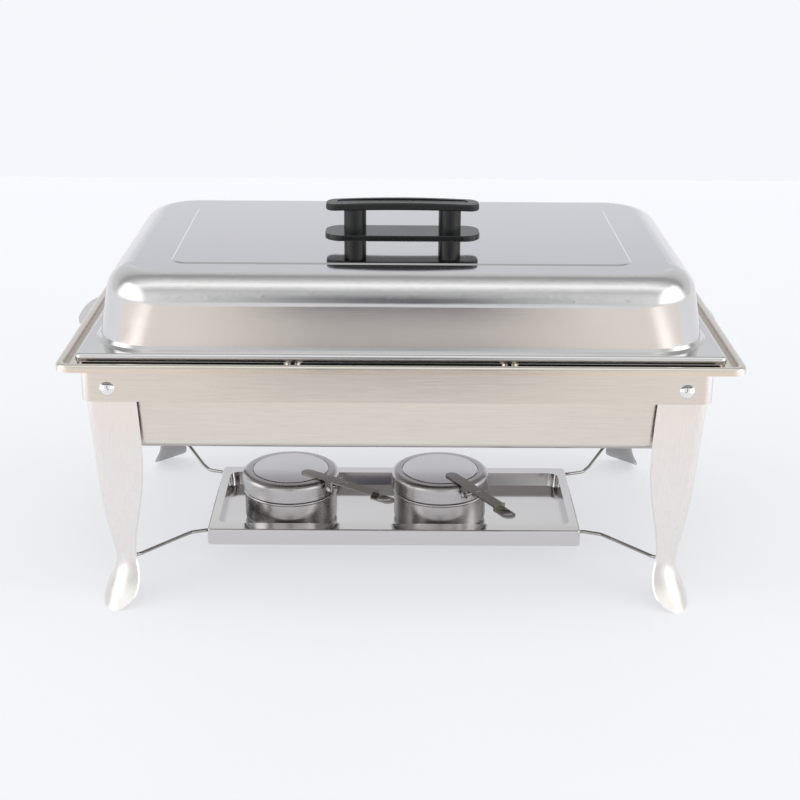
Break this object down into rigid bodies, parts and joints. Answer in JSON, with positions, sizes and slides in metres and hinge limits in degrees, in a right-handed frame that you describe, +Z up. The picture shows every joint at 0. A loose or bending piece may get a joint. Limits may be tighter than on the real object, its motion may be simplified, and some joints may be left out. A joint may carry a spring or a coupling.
{
  "type": "chafing dish food warmer",
  "caption": "Rectangular stainless chafing dish: domed lid with a black handle, food pans in a water pan on a legged stand, and lidded fuel burners on a low tray.",
  "frame": {"origin": "on the floor under the middle of the stand's apron ring", "axes": "+X along the length towards the right-hand end, +Y from the front to the back, +Z up"},
  "size_m": [0.576, 0.356, 0.3208],
  "materials": {
    "satin_steel": "satin",
    "lid_steel": "satin",
    "leg_steel": "satin",
    "polished_steel": "polished",
    "holder_steel": "satin",
    "rivet_chrome": "polished",
    "black_plastic": "satin"
  },
  "bodies": {
    "stand": {"stand_frame": "satin_steel", "leg_front_left": "leg_steel", "leg_front_right": "leg_steel", "leg_back_left": "leg_steel", "leg_back_right": "leg_steel", "leg_rivets": "rivet_chrome", "end_handle_left": "satin_steel", "end_handle_right": "satin_steel", "burner_tray": "polished_steel", "front_wire": "rivet_chrome", "back_wire": "rivet_chrome"},
    "cup_left": {"fuel_cup_left": "holder_steel"},
    "cap_left": {"fuel_cap_left": "holder_steel", "hinge_bracket_left": "holder_steel", "hinge_pin_left": "rivet_chrome"},
    "snuffer_left": {"snuffer_disc_left": "holder_steel", "snuffer_lever_left": "holder_steel"},
    "cup_right": {"fuel_cup_right": "holder_steel"},
    "cap_right": {"fuel_cap_right": "holder_steel", "hinge_bracket_right": "holder_steel", "hinge_pin_right": "rivet_chrome"},
    "snuffer_right": {"snuffer_disc_right": "holder_steel", "snuffer_lever_right": "holder_steel"},
    "water_pan_body": {"water_pan": "satin_steel"},
    "food_pans": {"food_pan_left": "polished_steel", "food_pan_middle": "polished_steel", "food_pan_right": "polished_steel"},
    "lid": {"lid_shell": "lid_steel", "handle_base": "black_plastic", "handle_post_left": "black_plastic", "handle_post_right": "black_plastic", "handle_grip": "black_plastic", "handle_washers": "rivet_chrome", "handle_screws": "rivet_chrome"}
  },
  "joints": [
    {"name": "lift_cup_left", "type": "slide", "parent": "stand", "child": "cup_left", "axis": [0, 0, 1], "range_m": [0, 0.014]},
    {"name": "lift_cap_left", "type": "slide", "parent": "cup_left", "child": "cap_left", "axis": [0, 0, 1], "range_m": [0, 0.013]},
    {"name": "flip_snuffer_left", "type": "hinge", "parent": "cap_left", "child": "snuffer_left", "pos_m": [-0.05869, -0.04342, 0.0606], "axis": [0.5976, 0.8018, 0], "range_deg": [0, 26]},
    {"name": "lift_cup_right", "type": "slide", "parent": "stand", "child": "cup_right", "axis": [0, 0, 1], "range_m": [0, 0.014]},
    {"name": "lift_cap_right", "type": "slide", "parent": "cup_right", "child": "cap_right", "axis": [0, 0, 1], "range_m": [0, 0.013]},
    {"name": "flip_snuffer_right", "type": "hinge", "parent": "cap_right", "child": "snuffer_right", "pos_m": [0.06668, -0.05695, 0.0606], "axis": [0.8634, 0.5045, 0], "range_deg": [0, 26]},
    {"name": "lift_water_pan", "type": "slide", "parent": "stand", "child": "water_pan_body", "axis": [0, 0, 1], "range_m": [0, 0.1]},
    {"name": "lift_food_pans", "type": "slide", "parent": "water_pan_body", "child": "food_pans", "axis": [0, 0, 1], "range_m": [0, 0.075]},
    {"name": "lift_lid", "type": "slide", "parent": "food_pans", "child": "lid", "axis": [0, 0, 1], "range_m": [0, 0.2]}
  ]
}
